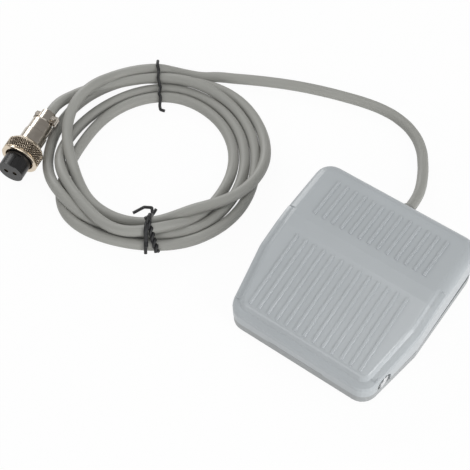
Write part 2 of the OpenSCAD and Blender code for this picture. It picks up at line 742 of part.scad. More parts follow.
module switch_nuts() color(steel)
  for (p = switch_holes)
    translate([nut_x, p[0], p[1]]) rotate([0, 90, 0]) difference() {
      hex(5.5 / 3 * switch_screw_d, switch_nut_t);
      translate([0, 0, -cut]) cylinder(d = switch_screw_d + 2 * run_fit, h = switch_nut_t + 2 * cut);
    }

// ---------------------------------------------------------------- cord inside the base
core_d = 2;
function spline(p, i, t) =
  let (a = p[max(i - 1, 0)], b = p[i], c = p[i + 1], d = p[min(i + 2, len(p) - 1)])
    0.5 * (2 * b + (c - a) * t + (2 * a - 5 * b + 4 * c - d) * t * t + (3 * b - a - 3 * c + d) * t * t * t);
function smooth(p, m) =
  concat([for (i = [0:len(p) - 2], k = [0:m - 1]) spline(p, i, k / m)], [p[len(p) - 1]]);

entry_end = clamp_y - 4.5;
core_low = 5.4;
solder = 0.3;
wire_com_route = [[1.4, entry_end, cord_h], [2.5, 35, 6.6], [6.5, 31.5, 5.8], [8.2, 27, core_low],
  [8.2, 19, core_low], [5, com_y + 3.4, core_low], [1.6, com_y + 1.9, core_low],
  [1.2, com_y + term_t / 2 + solder, core_low]];
wire_no_route = [[-1.4, entry_end, cord_h], [-0.8, 34.6, 6.4], [2, 31, core_low], [4.3, 27, core_low],
  [4.2, 24, core_low], [1.6, no_y + 1.9, core_low], [1.2, no_y + term_t / 2 + solder, core_low]];

module wire_com() color([0.55, 0.25, 0.12]) tube_along(smooth(wire_com_route, 3), core_d, 8);
module wire_no() color([0.15, 0.3, 0.6]) tube_along(smooth(wire_no_route, 3), core_d, 8);

relief_end = half_l - base_inset + relief_l;
module cord_entry() color(grey_cord)
  translate([0, entry_end, cord_h]) rotate([-90, 0, 0]) cylinder(d = cord_d, h = relief_end - entry_end);

clamp_top = cord_h + cord_r + 1.8;
module cord_clamp() color(steel)
  difference() {
    translate([-clamp_x - 3.4, clamp_y - 3.2, clamp_post_h])
      cube([2 * clamp_x + 6.8, 6.4, clamp_top - clamp_post_h]);
    translate([0, clamp_y - 5, cord_h]) rotate([-90, 0, 0]) cylinder(r = cord_r, h = 10);
    for (s = [-1, 1]) translate([s * clamp_x, clamp_y, 0])
      cylinder(d = clamp_screw_d + 2 * run_fit, h = 20);
  }

module clamp_screws() color(steel)
  for (s = [-1, 1]) translate([s * clamp_x, clamp_y, clamp_top + 1.9]) rotate([180, 0, 0]) difference() {
    pan_screw(clamp_screw_d, 5.4, 1.9, 8.4);
    cross_recess(3, 1);
  }

module cord_gland() color(grey_cord)
  translate([0, gate_in - gland_flange, cord_h]) rotate([-90, 0, 0]) rotate_extrude() {
    neck_r = relief_d / 2;
    out_y = half_l - base_inset - gate_in + gland_flange;
    polygon([
      [cord_r, 0], [neck_r + gland_step, 0], [neck_r + gland_step, gland_flange],
      [neck_r, gland_flange], [neck_r, out_y], [neck_r + 1.3, out_y], [neck_r + 1.3, out_y + 1.4],
      [neck_r + 0.4, out_y + 2], [cord_r + 0.9, out_y + relief_l], [cord_r, out_y + relief_l]
    ]);
  }

// ---------------------------------------------------------------- cord on the floor
coil_c = [-151.5, 12];
lead_route = [[0, 66.7, 7.6], [-0.3, 73, 7], [-2, 82, 5], [-6, 92.5, 3.7], [-11.8, 103, 3.4],
  [-19, 112.4, 3.4], [-29, 119.8, 3.4], [-41, 124, 3.4], [-53, 125, 3.4], [-67, 123.3, 3.4],
  [-80, 120.2, 3.4], [-92, 116.8, 3.4], [-104, 112.8, 3.4], [-115, 108.5, 3.4], [-126, 103.6, 3.4],
  [-137, 98.2, 3.4], [-148, 92.4, 3.4], [-157.5, 87.4, 3.4], [-167, 82.3, 3.4]];
tail_route = [[-205.1, 51, 10.2], [-210.6, 45.8, 10.5], [-216, 38.8, 10.9], [-220.5, 29, 11.3], [-223.8, 18, 11.7],
  [-225, 7, 12], [-223, -4, 12], [-219.7, -19.6, 12]];

module cord_lead() color(grey_cord) tube_along(smooth(lead_route, 2), cord_d, 10);
module cord_tail() color(grey_cord) tube_along(smooth(tail_route, 2), cord_d, 10);

row_h = cord_d + 0.1;
upper_in = 2.8;
upper_out = 6;
tie_angles = [124, -55];
module coil_section() {
  r = row_h / 2;
  translate([coil_in + r, 0]) square([coil_out - coil_in - 2 * r, row_h]);
  translate([coil_in + upper_in + r, r]) square([coil_out - upper_out - coil_in - upper_in - 2 * r, 2 * row_h - r]);
  for (x = [coil_in + r, coil_out - r]) translate([x, r]) circle(r = r);
  for (x = [coil_in + upper_in + r, coil_out - upper_out - r]) translate([x, 2 * row_h - r]) circle(r = r);
}

tie_slot = tie_d + 0.5;
module cord_coil() color(grey_cord)
  difference() {
    translate([coil_c[0], coil_c[1], 0]) rotate_extrude($fn = 96) coil_section();
    for (a = tie_angles) translate([coil_c[0], coil_c[1], 0]) rotate(a)
      translate([coil_in - 2, -tie_slot, -1]) cube([coil_out - coil_in + 4, 2 * tie_slot, tie_d + 0.2 + 1]);
  }

// Each tie is a closed band round the turns with a twisted tail
module coil_ties() color(black)
  for (a = tie_angles) translate([coil_c[0], coil_c[1], 0]) rotate(a) {
    tie_in = coil_in - air;
    tie_out = coil_out + air;
    tie_top = 2 * row_h + 0.2;
    difference() {
      translate([tie_in - tie_d, -tie_d / 2, 0]) cube([tie_out - tie_in + 2 * tie_d, tie_d, tie_top + tie_d]);
      translate([tie_in, -tie_d, tie_d]) cube([tie_out - tie_in, 2 * tie_d, tie_top - tie_d]);
    }
    translate([coil_out - 8, 0, tie_top + tie_d]) rotate([0, 90, 0]) translate([0, 0, 0])
      cylinder(d = tie_d * 1.6, h = 14);
  }

// ---------------------------------------------------------------- plug
plug_tail = [-223, -4, 12];
plug_yaw = -78;
ring_back = 27;
flange_t = 4;
thread_d = 18.4;
module along_plug() translate(plug_tail) rotate([0, 0, plug_yaw]) rotate([0, 90, 0]) children();

tail_l = 9;
collar_l = 8;
bore_d = 12;
module plug_barrel() color(steel) along_plug() rotate_extrude() polygon([
  [bore_d / 2, tail_l + collar_l], [barrel_d / 2 - 0.3, tail_l + collar_l],
  [barrel_d / 2, tail_l + collar_l + 0.4], [barrel_d / 2, barrel_l], [bore_d / 2, barrel_l]
]);

module plug_collar() color(steel) along_plug() rotate_extrude() polygon([
  [cord_r + 0.1, tail_l - 1.5], [barrel_d / 2 - 1.6, tail_l - 1.5], [barrel_d / 2 - 0.6, tail_l],
  [barrel_d / 2 - 0.6, tail_l + collar_l], [cord_r + 0.1, tail_l + collar_l]
]);

// Two half shells grip the cord behind the collar
clamp_w = 15;
clamp_t = 3.8;
clamp_bolt_d = 1.8;
clamp_head_d = 3.4;
module at_clamp_screws(x)
  for (s = [-1, 1]) translate([x, s * (clamp_w / 2 - 2), tail_l / 2 - 0.75]) rotate([0, 90, 0]) children();

module plug_clamp() color(steel) along_plug() difference() {
  union() {
    cylinder(d = cord_d + 3.4, h = tail_l - 1.5);
    translate([-clamp_t / 2, -clamp_w / 2, 1]) cube([clamp_t, clamp_w, tail_l - 3.5]);
  }
  translate([0, 0, -cut]) cylinder(d = cord_d + 0.1, h = tail_l);
  translate([-0.25, -clamp_w, -cut]) cube([0.5, 2 * clamp_w, tail_l]);
  at_clamp_screws(-clamp_t / 2 - cut) cylinder(d = clamp_bolt_d + 2 * run_fit, h = clamp_t + 2 * cut);
  at_clamp_screws(-clamp_t / 2 - 5) cylinder(d = clamp_head_d + 2 * run_fit, h = 5);
}

module plug_clamp_screws() color(steel) along_plug()
  at_clamp_screws(-clamp_t / 2 - 1.3) pan_screw(clamp_bolt_d, clamp_head_d, 1.3, clamp_t + 0.6);

key_w = 3;
key_turn = 20;
contact_back = 12;
module plug_insert() color(black) along_plug() difference() {
  union() {
    translate([0, 0, barrel_l]) cylinder(d = insert_d, h = plug_l - barrel_l);
    translate([0, 0, barrel_l - 9]) cylinder(d = bore_d, h = 9.5);
  }
  for (s = [-1, 1]) translate([0, s * contact_pitch / 2, barrel_l - 10]) cylinder(d = 3, h = plug_l);
  rotate(-key_turn) translate([-insert_d / 2 - 1, -key_w / 2, barrel_l + 3]) cube([1.9, key_w, plug_l]);
}

module plug_contacts() color(brass) along_plug()
  for (s = [-1, 1]) translate([0, s * contact_pitch / 2, barrel_l - contact_back]) difference() {
    cylinder(d = 3, h = plug_l - barrel_l + contact_back - 1);
    translate([0, 0, 8]) cylinder(d = 2, h = plug_l);
  }

module coupling_ring() color(steel) along_plug() translate([0, 0, ring_back]) difference() {
  rotate_extrude($fn = 72) polygon([
    [barrel_d / 2 + run_fit, 0], [ring_d / 2 - 2.2, 0], [ring_d / 2 - 1.4, 0.8], [ring_d / 2 - 0.6, 2],
    [ring_d / 2, 2.6], [ring_d / 2, ring_l - 0.6], [ring_d / 2 - 0.6, ring_l],
    [thread_d / 2 + 0.6, ring_l], [thread_d / 2, ring_l - 0.6], [thread_d / 2, flange_t],
    [barrel_d / 2 + run_fit, flange_t]
  ]);
}

base_shell();
rubber_feet();
pivot_bolts();
pivot_washers();
pivot_nuts();
switch_bracket();
bracket_screws();
switch_case();
switch_cover();
switch_screws();
switch_nuts();
terminal_com();
terminal_no();
terminal_nc();
lever_pin();
wire_com();
wire_no();
cord_clamp();
clamp_screws();
cord_gland();
cord_entry();
cord_lead();
cord_coil();
cord_tail();
coil_ties();
plug_barrel();
plug_collar();
plug_clamp();
plug_clamp_screws();
plug_insert();
plug_contacts();
treadle();
stop_screws();
return_springs();
switch_lever();
switch_plunger();
contact_blade();
coupling_ring();
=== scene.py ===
# %% [markdown]
# # A foot switch with its coiled lead
# The object is a hinged grey treadle on a low cast base. Its lead leaves at the toe, is
# wound into a tied coil and ends in a round metal plug. The solids come already packed in
# metres and keep their places, so this lesson only dresses them: it winds the real cord,
# lays the wire ties, cuts the knurl, rounds the ribs and mixes the finishes.

# %% Load the imported solids
import json
import math
import bpy
import numpy as np
from mathutils import Matrix, Vector

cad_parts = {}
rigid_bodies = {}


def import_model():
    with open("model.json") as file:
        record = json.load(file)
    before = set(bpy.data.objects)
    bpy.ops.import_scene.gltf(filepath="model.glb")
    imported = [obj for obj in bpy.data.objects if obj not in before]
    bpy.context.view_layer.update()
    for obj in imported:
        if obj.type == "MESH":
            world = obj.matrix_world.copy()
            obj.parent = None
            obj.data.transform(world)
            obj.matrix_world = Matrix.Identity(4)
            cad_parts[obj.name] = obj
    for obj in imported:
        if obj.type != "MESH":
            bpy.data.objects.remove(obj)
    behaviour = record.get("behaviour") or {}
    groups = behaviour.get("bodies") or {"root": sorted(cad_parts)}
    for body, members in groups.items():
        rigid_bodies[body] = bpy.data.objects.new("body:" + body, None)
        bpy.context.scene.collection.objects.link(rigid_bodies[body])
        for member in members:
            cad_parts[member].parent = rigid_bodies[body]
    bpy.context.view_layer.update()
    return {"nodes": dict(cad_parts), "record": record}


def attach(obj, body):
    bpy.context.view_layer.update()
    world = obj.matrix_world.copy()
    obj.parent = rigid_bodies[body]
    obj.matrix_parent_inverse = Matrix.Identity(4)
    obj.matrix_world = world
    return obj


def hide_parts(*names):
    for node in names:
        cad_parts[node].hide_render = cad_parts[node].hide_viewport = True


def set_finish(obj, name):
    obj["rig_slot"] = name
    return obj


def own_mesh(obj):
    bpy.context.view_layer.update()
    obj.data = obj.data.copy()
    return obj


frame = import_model()
MM = 0.001

# %% [markdown]
# ## The camera
# A small product on a table is looked at from above and from the right. A camera can be
# aimed with a Track To constraint, but that keeps it upright, and this one is rolled by
# three degrees. So its three axes are worked out as vectors and written into its matrix.
# It stands 665 mm from a point on the table between the pedal and the coil.

# %% Place the camera
TURN, LIFT, ROLL = (math.radians(a) for a in (38.653, 57.249, -3.276))
LENS, SENSOR, DISTANCE = 84.99, 36, 664.9
TARGET = Vector((-77.595, -4.20, 0)) * MM


def put(name, data):
    """A new object with this data, linked into the scene."""
    thing = bpy.data.objects.new(name, data)
    bpy.context.scene.collection.objects.link(thing)
    return thing


back = Vector((math.sin(TURN) * math.cos(LIFT), -math.cos(TURN) * math.cos(LIFT), math.sin(LIFT)))
level = (-back).cross(Vector((0, 0, 1))).normalized()
above = level.cross(-back)
right = math.cos(ROLL) * level + math.sin(ROLL) * above
up = -math.sin(ROLL) * level + math.cos(ROLL) * above
camera = put("camera", bpy.data.cameras.new("camera"))
camera.data.lens, camera.data.sensor_width = LENS, SENSOR
camera.matrix_world = Matrix((right, up, back)).transposed().to_4x4()
camera.location = TARGET + back * DISTANCE * MM
bpy.context.scene.camera = camera
print("camera at", tuple(round(v, 4) for v in camera.location))

# %% [markdown]
# ## A small language for finishes
# A finish is a tree of shader nodes. It could be drawn by hand in the shader editor, or
# written with a line for each node and each link, but both get long. So `Value` wraps a
# socket and turns an ordinary expression into Math nodes, and `Nodes.node` adds any other
# node: its type, then its settings, then what goes into its sockets.

# %% A value that does maths, and the tree it lives in
class Value:
    def __init__(self, nodes, socket):
        self.nodes, self.socket = nodes, socket

    def join(self, operation, a, b):
        return self.nodes.node("ShaderNodeMath", {"operation": operation}, {0: a, 1: b})

    def beside(self, output):
        """Another output of the same node."""
        return Value(self.nodes, self.socket.node.outputs[output])

    def __add__(self, other):
        return self.join("ADD", self, other)

    def __sub__(self, other):
        return self.join("SUBTRACT", self, other)

    def __rsub__(self, other):
        return self.join("SUBTRACT", other, self)

    def __mul__(self, other):
        return self.join("MULTIPLY", self, other)

    __radd__ = __add__
    __rmul__ = __mul__


class Nodes:
    def __init__(self, tree):
        self.tree = tree

    def node(self, kind, settings=None, inputs=None, out=0):
        node = self.tree.nodes.new(kind)
        for key, value in (settings or {}).items():
            setattr(node, key, value)
        for key, value in (inputs or {}).items():
            if isinstance(value, Value):
                self.tree.links.new(value.socket, node.inputs[key])
            else:
                node.inputs[key].default_value = value
        return Value(self, node.outputs[out])


print("expressions may use a + b, a - b, a * b and 1 - a")

# %% [markdown]
# Every finish here is one Principled shader that is fed by noise: a mask that drifts
# between two tones, a roughness and a fine bump. `Finish` holds that shader and has a
# short word for each of these. Noise is placed by object coordinates, in metres, so that a
# scale of 1000 gives grains of about a millimetre.

# %% A finish
MIX_FACTOR, MIX_DARK, MIX_LIGHT, MIX_COLOUR = 0, 6, 7, 2
BUMP_STRENGTH = 0.5


class Finish(Nodes):
    def __init__(self, name, **constants):
        self.material = bpy.data.materials.new(name)
        self.material.use_nodes = True
        super().__init__(self.material.node_tree)
        self.shader = self.tree.nodes["Principled BSDF"]
        for key, value in constants.items():
            self.shader.inputs[key.replace("_", " ")].default_value = value
        self.place = self.node("ShaderNodeTexCoord", out="Object")

    def feed(self, socket, value):
        self.tree.links.new(value.socket, self.shader.inputs[socket])

    def grain(self, scale, detail=3):
        return self.node("ShaderNodeTexNoise", {},
                         {"Vector": self.place, "Scale": scale, "Detail": detail})

    def tones(self, mask, dark, light):
        return self.node("ShaderNodeMix", {"data_type": "RGBA"},
                         {MIX_FACTOR: mask, MIX_DARK: dark, MIX_LIGHT: light}, MIX_COLOUR)

    def bump(self, height, distance):
        self.feed("Normal", self.node("ShaderNodeBump", {}, {
            "Height": height, "Distance": distance, "Strength": BUMP_STRENGTH}))


def colour(red, green, blue):
    """A colour as a screen shows it, 0 to 255, in the linear numbers that shaders take."""
    part = [c / 255 / 12.92 if c <= 10 else ((c / 255 + 0.055) / 1.055) ** 2.4
            for c in (red, green, blue)]
    return (*part, 1.0)


print("a middle grey is", round(colour(128, 128, 128)[0], 3))

# %% [markdown]
# ## The table
# The part stands on a pale sheet. More light would turn the sheet white, and the part with
# it. So the sheet glows instead, and only for rays that come from the camera, off gloss or
# through glass: it throws no extra light on the part, and it keeps a soft shadow.

# %% Lay the table
TABLE_HALF = 3.0
GLOW_SHARE = 0.95
mesh = bpy.data.meshes.new("table")
mesh.from_pydata([(x * TABLE_HALF, y * TABLE_HALF, 0)
                  for x, y in ((-1, -1), (1, -1), (1, 1), (-1, 1))], [], [(0, 1, 2, 3)])
table = put("table", mesh)
sheet = Finish("table_sheet", Roughness=0.9, Specular_IOR_Level=0.1)
sheet.feed("Base Color", sheet.tones(sheet.grain(900), colour(238, 238, 238),
                                     colour(242, 242, 242)))
rays = sheet.node("ShaderNodeLightPath", out="Is Camera Ray")
seen = sheet.node("ShaderNodeMath", {"operation": "MINIMUM"}, {
    0: rays + rays.beside("Is Glossy Ray") + rays.beside("Is Transmission Ray"), 1: 1.0})
glow = sheet.node("ShaderNodeEmission", {}, {"Color": (1, 1, 1, 1), "Strength": 1.0})
both = sheet.node("ShaderNodeMixShader", {}, {
    0: seen * GLOW_SHARE, 1: Value(sheet, sheet.shader.outputs[0]), 2: glow})
sheet.tree.links.new(both.socket, sheet.tree.nodes["Material Output"].inputs["Surface"])
mesh.materials.append(sheet.material)
print("table laid,", 2 * TABLE_HALF, "m wide")

# %% [markdown]
# ## The lamps
# Plain studio light comes from large soft lamps; a sun or a spot would cut hard shadows.
# Four area lamps hang round the part: one like a window at the upper left, a long one at
# the right that draws the bright streaks on metal, a low one in front and one overhead.
# A white room fills the rest. It is weak where it lights the part, and white to the camera.

# %% Hang the lamps
ROOM_FILL = 0.34


def lamp(name, place, target, size, power):
    light = bpy.data.lights.new(name, "AREA")
    light.shape = "RECTANGLE"
    light.size, light.size_y = size
    light.energy = power
    thing = put(name, light)
    thing.location = place
    aim = Vector(target) - Vector(place)
    thing.rotation_euler = aim.to_track_quat("-Z", "Y").to_euler()


lamp("window", (-1.05, 0.55, 0.52), (-0.08, 0.0, 0.0), (0.6, 0.6), 6.5)
lamp("side", (0.95, -0.10, 0.36), (-0.05, 0.0, 0.0), (0.4, 0.9), 7.5)
lamp("front", (-0.15, -1.1, 0.42), (-0.05, 0.0, 0.0), (0.9, 0.3), 3.0)
lamp("overhead", (0.0, 0.02, 1.15), (0.0, 0.0, 0.0), (0.4, 0.4), 2.2)
world = bpy.data.worlds.new("room")
bpy.context.scene.world = world
world.use_nodes = True
room = Nodes(world.node_tree)
sky = room.tree.nodes["Background"]
sky.inputs["Color"].default_value = (1, 1, 1, 1)
fill = room.node("ShaderNodeLightPath", out="Is Camera Ray") * (1 - ROOM_FILL) + ROOM_FILL
room.tree.links.new(fill.socket, sky.inputs["Strength"])
bpy.context.scene.view_settings.view_transform = "Standard"
print("four lamps and a white room")

# %% [markdown]
# ## The cord's way
# The lead leaves the toe of the pedal, runs round it and into a coil of a little more than
# four turns, and the tail goes into the plug. A simulation could drop a cord on the table,
# but not the way that a hand has wound and tied this one, so its way is written down.
# The two free ends are plain lists of points, in millimetres. A turn of the coil is easier
# to say as an angle, how far it lies off a circle of 58 mm radius, and its height. The
# height is 3.4 mm on the table, about 10 mm across one turn and up to 16 mm across two.

# %% Write down the route
CORD = 6.8 * MM
LEAD = [(0, 66.7, 7.6), (-0.3, 73, 7), (-2, 82, 5), (-6, 92.5, 3.7), (-11.8, 103, 3.4),
        (-19, 112.4, 3.4), (-29, 119.8, 3.4), (-41, 124, 3.4), (-53, 125, 3.4),
        (-67, 123.3, 3.4), (-80, 120.2, 3.4), (-92, 116.8, 3.4), (-104, 112.8, 3.4),
        (-115, 108.5, 3.4), (-126, 103.6, 3.4), (-137, 98.2, 3.4), (-148, 92.4, 3.4),
        (-157.5, 87.4, 3.4)]
TAIL = [(-211.9, 34.1, 9.3), (-217.2, 26, 10.3), (-221.3, 16.9, 11), (-223.9, 6.9, 11.9),
        (-223, -4, 12), (-219.7, -19.6, 12)]
CENTRE, MEAN = (-151.5, 12), 58
TURNS = [
    (102, 14, 3.4), (110, 12, 4.2), (118, 11, 6.5), (126, 10, 9.6), (136, 9.7, 10.3),
    (146, 9.4, 10.8), (156, 8, 12.8), (166, 6.2, 15.4), (174, 5.4, 15.6), (182, 4.2, 14),
    (190, 2.4, 12), (200, -0.5, 10.4), (214, -4.5, 10.2), (226, -7.5, 9.6), (238, -8.6, 6.8),
    (252, -8.6, 3.6), (275, -8.6, 3.4), (300, -8.8, 3.4), (315, -9, 4), (328, -8, 7.5),
    (340, -4.5, 10.2), (352, 0.5, 10.2), (364, 5.5, 10.2), (376, 9, 10.2), (388, 9.3, 10),
    (400, 8, 8.5), (415, 7.5, 6), (430, 7.8, 3.8), (445, 8.6, 3.4), (465, 9, 3.4),
    (484, 9.2, 3.4), (500, 8.8, 3.4), (515, 9, 3.4), (530, 10.5, 3.4), (541, 11.5, 3.4),
    (555, 9.8, 3.4), (575, 8.8, 3.4), (590, 8, 6), (600, 7, 10.2), (612, 5, 9.5),
    (625, 2, 6), (640, 0, 3.4), (657, -1.8, 3.4), (675, -1.5, 3.4), (695, 0, 3.4),
    (710, 1.5, 3.4), (730, 0.5, 3.4), (750, -0.5, 3.4), (790, -1.6, 3.4), (825, -1, 3.4),
    (844, -2, 3.4), (870, -5, 3.4), (890, -4.5, 3.4), (910, -2.5, 3.4),
    (925, -0.5, 3.4), (938, 0.5, 7), (948, 0, 10.2), (960, -1, 10.2), (980, 0.5, 9.5),
    (1000, 1.5, 9), (1017, 1.9, 8.9), (1035, 0, 7), (1050, -3, 3.6), (1065, -6.5, 3.4),
    (1080, -9, 3.4), (1100, -8, 3.4), (1125, -7, 3.4), (1150, -8, 3.4), (1185, -8.6, 3.4),
    (1205, -9.8, 3.4), (1230, -12, 3.4), (1260, -12.9, 3.4), (1280, -12, 3.4),
    (1292, -10, 3.4), (1304, -4, 3.4), (1314, 1.5, 3.4), (1324, 6, 3.4), (1336, 7, 3.4),
    (1350, 6, 3.4), (1370, 7, 3.4), (1390, 6, 3.4), (1407, 7.5, 3.4), (1425, 9.8, 3.4),
    (1442, 10.3, 3.4), (1455, 8.5, 3.4), (1470, 6.5, 3.4), (1490, 5.5, 3.4),
    (1505, 5, 3.8), (1520, 4, 5.5), (1535, 3.3, 7.6), (1545, 3, 8.2), (1560, 3, 8.2),
    (1575, 3.2, 8.3), (1590, 4.4, 8.6)]
print("turns:", round((TURNS[-1][0] - TURNS[0][0]) / 360, 2))

# %% [markdown]
# The listed keys have to be joined. Straight lines would give the cord kinks, and an
# ordinary smooth curve swings past its keys, down into the table. A monotone cubic never
# goes past a key, so it is used here, with one point each 7.5 degrees: 48 points a turn.
# The offsets are drawn in by 7 per cent, which brings the turns close together.

# %% Turn the keys into points
POINT_STEP = 7.5
DRAWN_IN = 0.93


def between(x, y, at):
    """The monotone cubic through the keys x, y, read at the places at."""
    step = np.diff(x)
    rise = np.diff(y) / step
    slope = np.zeros(len(x))
    slope[0], slope[-1] = rise[0], rise[-1]
    for i in range(1, len(x) - 1):
        if rise[i - 1] * rise[i] > 0:
            w1, w2 = 2 * step[i] + step[i - 1], step[i] + 2 * step[i - 1]
            slope[i] = (w1 + w2) / (w1 / rise[i - 1] + w2 / rise[i])
    i = np.clip(np.searchsorted(x, at) - 1, 0, len(step) - 1)
    t = (at - x[i]) / step[i]
    return (y[i] * (1 + 2 * t) * (1 - t) ** 2 + slope[i] * step[i] * t * (1 - t) ** 2
            + y[i + 1] * t * t * (3 - 2 * t) + slope[i + 1] * step[i] * t * t * (t - 1))


def wind():
    keys = np.array(TURNS, float)
    angle = np.arange(keys[0, 0], keys[-1, 0] + 0.1, POINT_STEP)
    reach = MEAN + DRAWN_IN * between(keys[:, 0], keys[:, 1], angle)
    height = between(keys[:, 0], keys[:, 2], angle)
    turn = np.radians(angle)
    coil = np.stack([CENTRE[0] + reach * np.cos(turn), CENTRE[1] + reach * np.sin(turn),
                     height], -1)
    return np.vstack([np.array(LEAD, float), coil, np.array(TAIL, float)])


plan = wind()
print(len(plan), "points on the cord")

# %% [markdown]
# Listed keys let turns touch or sink into each other. A few hundred small steps
# put that right: each point falls a little, is pulled back to its plan, is smoothed as a
# stiff cord would be, and is pushed off any turn that comes closer than one cord width.
# In the last quarter nothing falls any more, so the turns only part and smooth. The lead
# with the start of the first turn, which lies over others, and the end with its tail are
# held where they are.

# %% Let the coil settle
HALF_CORD = 3.4
HELD_TO, HELD_FROM = 188, 1530
ROUNDS = 420


def along(points):
    """How far along the line each point lies, from 0 at the first."""
    return np.r_[0, np.cumsum(np.linalg.norm(np.diff(points, axis=0), axis=1))]


def settle(plan, fixed, width=6.84, near=45, fall=0.06, pull=0.02, stiff=(0.35, 0.12),
           pushes=4):
    now, run = plan.copy(), along(plan)
    apart = np.abs(run[:, None] - run[None]) > near
    free = np.ones(len(plan), bool)
    free[fixed] = False
    for step in range(ROUNDS):
        new, falling = now.copy(), step < ROUNDS * 0.75
        if falling:
            new[:, 2] -= fall
            new[:, :2] += pull * (plan[:, :2] - new[:, :2])
        soft = new.copy()
        soft[2:-2] = (-new[:-4] + 4 * new[1:-3] + 4 * new[3:-1] - new[4:]) / 6
        new += stiff[0 if falling else 1] * (soft - new)
        for _ in range(pushes):
            gap = new[:, None] - new[None]
            far = np.linalg.norm(gap, axis=2)
            hit = apart & (far < width)
            push = np.where(hit, (width - far) / np.maximum(far, 1e-6), 0)
            new += 0.5 * (gap * push[..., None]).sum(1) / np.maximum(hit.sum(1), 1)[:, None]
            new[:, 2] = np.maximum(new[:, 2], HALF_CORD)
        now[free] = new[free]
    return now


over = len(LEAD) + int((HELD_TO - TURNS[0][0]) / POINT_STEP)
under = len(plan) - len(TAIL) - int((TURNS[-1][0] - HELD_FROM) / POINT_STEP)
route = settle(plan, list(range(over)) + list(range(under, len(plan))))
print("settled, moved at most", np.abs(route - plan).max(axis=0).round(1), "mm")

# %% [markdown]
# ## The cord itself
# The sheath is a plain round tube. It could be swept as a mesh, but a curve with a round
# bevel is the shorter way: one open spline whose points have automatic handles, so that it
# runs smoothly through all of them. The bevel is one unit and each point scales it.

# %% Make the cord
def line_through(name, points, radius, sides):
    data = bpy.data.curves.new(name, "CURVE")
    data.dimensions = "3D"
    data.bevel_depth = 1.0
    data.bevel_resolution = sides
    data.resolution_u = 4
    data.use_fill_caps = True
    spline = data.splines.new("BEZIER")
    spline.bezier_points.add(len(points) - 1)
    for knot, point in zip(spline.bezier_points, points):
        knot.co = [c * MM for c in point]
        knot.handle_left_type = knot.handle_right_type = "AUTO"
        knot.radius = radius
    return put(name, data)


cord = line_through("wound_cord", route, CORD / 2, sides=7)
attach(cord, "base")
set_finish(cord, "cord_grey")
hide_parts("cord_lead", "cord_coil", "cord_tail")

# %% [markdown]
# ## The two ties
# Soft black wire holds the coil together at two places. Rigid rings round the bundle would
# be quick, but real wire follows each turn that it crosses. So a tie is drawn as a line on
# the table, from the outside of the coil to the inside, and is then laid over the turns:
# each of its points rises until it just clears the cord under it.

# %% Lay wire over the cord
HALF_WIRE = 1.0
AIR = 0.05


def dense(points, parts=6):
    steps = []
    for a, b in zip(points[:-1], points[1:]):
        steps += [a + (b - a) * k / parts for k in range(parts)]
    return np.array(steps)


cord_line = dense(route)


def drape(line, spacing=0.8):
    line = np.array(line, float)
    run = along(line)
    at = np.arange(0, run[-1], spacing)
    flat = np.stack([np.interp(at, run, line[:, k]) for k in (0, 1)], -1)
    clear = HALF_CORD + HALF_WIRE + AIR
    height = np.full(len(flat), HALF_WIRE + AIR)
    for i, point in enumerate(flat):
        side = np.linalg.norm(cord_line[:, :2] - point, axis=1)
        near = side < clear
        if near.any():
            height[i] = max(height[i], (cord_line[near, 2]
                            + np.sqrt(clear ** 2 - side[near] ** 2)).max())
    crest = np.array([height[max(i - 1, 0):i + 2].max() for i in range(len(height))])
    soft = np.convolve(np.pad(crest, 2, "edge"), np.ones(5) / 5, "valid")
    return np.column_stack([flat, np.maximum(soft, height)])


ties = {
    "tie_upper": drape([(-193.2, 70.2), (-190.5, 66.5), (-187.8, 64.2), (-184.6, 59.4),
                        (-181, 56.6), (-178.6, 52), (-176, 50.4), (-175, 47.4),
                        (-173.2, 45.8), (-169.8, 46.6)]),
    "tie_lower": drape([(-112.2, -46.4), (-116.5, -40), (-121.5, -32), (-122.6, -28.4),
                        (-125.6, -25.2), (-127.4, -20.8)]),
    "tie_leg": drape([(-122, -31), (-118.5, -33.5), (-116.5, -39), (-112.6, -44.6)]),
    "tie_loop": drape([(-123.5, -28.5), (-126.4, -22), (-130.5, -17.6), (-134.6, -20),
                       (-137.6, -27.6)]),
    "tie_stub": drape([(-127.5, -25), (-126.9, -21.4), (-127.6, -17)]),
}
for name, points in ties.items():
    print(name, len(points), "points, highest", round(float(points[:, 2].max()), 1), "mm")

# %% [markdown]
# The lower tie is closed by twisting its two ends together. One thick wire would pass from
# far off, but two strands that wind round each other, half a turn apart, show the twist.

# %% Twist the ends and make the wires
def twisted(start, end, turns, heights, reach=0.88):
    start, end = np.array(start, float), np.array(end, float)
    ahead = (end - start) / np.linalg.norm(end - start)
    side = np.array([-ahead[1], ahead[0]])
    strands = []
    for half in (0, math.pi):
        t = np.linspace(0, 1, 10 * turns + 1)
        a = t * turns * 2 * math.pi + half
        flat = start + (end - start) * t[:, None] + side * (reach * np.cos(a))[:, None]
        z = heights[0] + (heights[1] - heights[0]) * t + reach * np.sin(a) + HALF_WIRE
        strands.append(np.column_stack([flat, z]))
    return strands


ties["tie_twist_a"], ties["tie_twist_b"] = twisted((-121.5, -31.5), (-106.7, -42.2), 3,
                                                   (15.2, 3.2))
for name, points in ties.items():
    wire = line_through(name, points, HALF_WIRE * MM, sides=3)
    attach(wire, "base")
    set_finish(wire, "tie_black")
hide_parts("coil_ties")
print(len(ties), "pieces of wire")

# %% [markdown]
# ## The plug's coupling ring
# The ring that draws the plug home is turned from brass, knurled in diamonds for the
# fingers and nickel plated. A bump map could hint at the knurl, but its edge would stay
# smooth. Here it is cut for real. A knurl is two sets of grooves that cross, so the surface
# drops wherever either set is low, and the grooves fade out at both ends of the band.

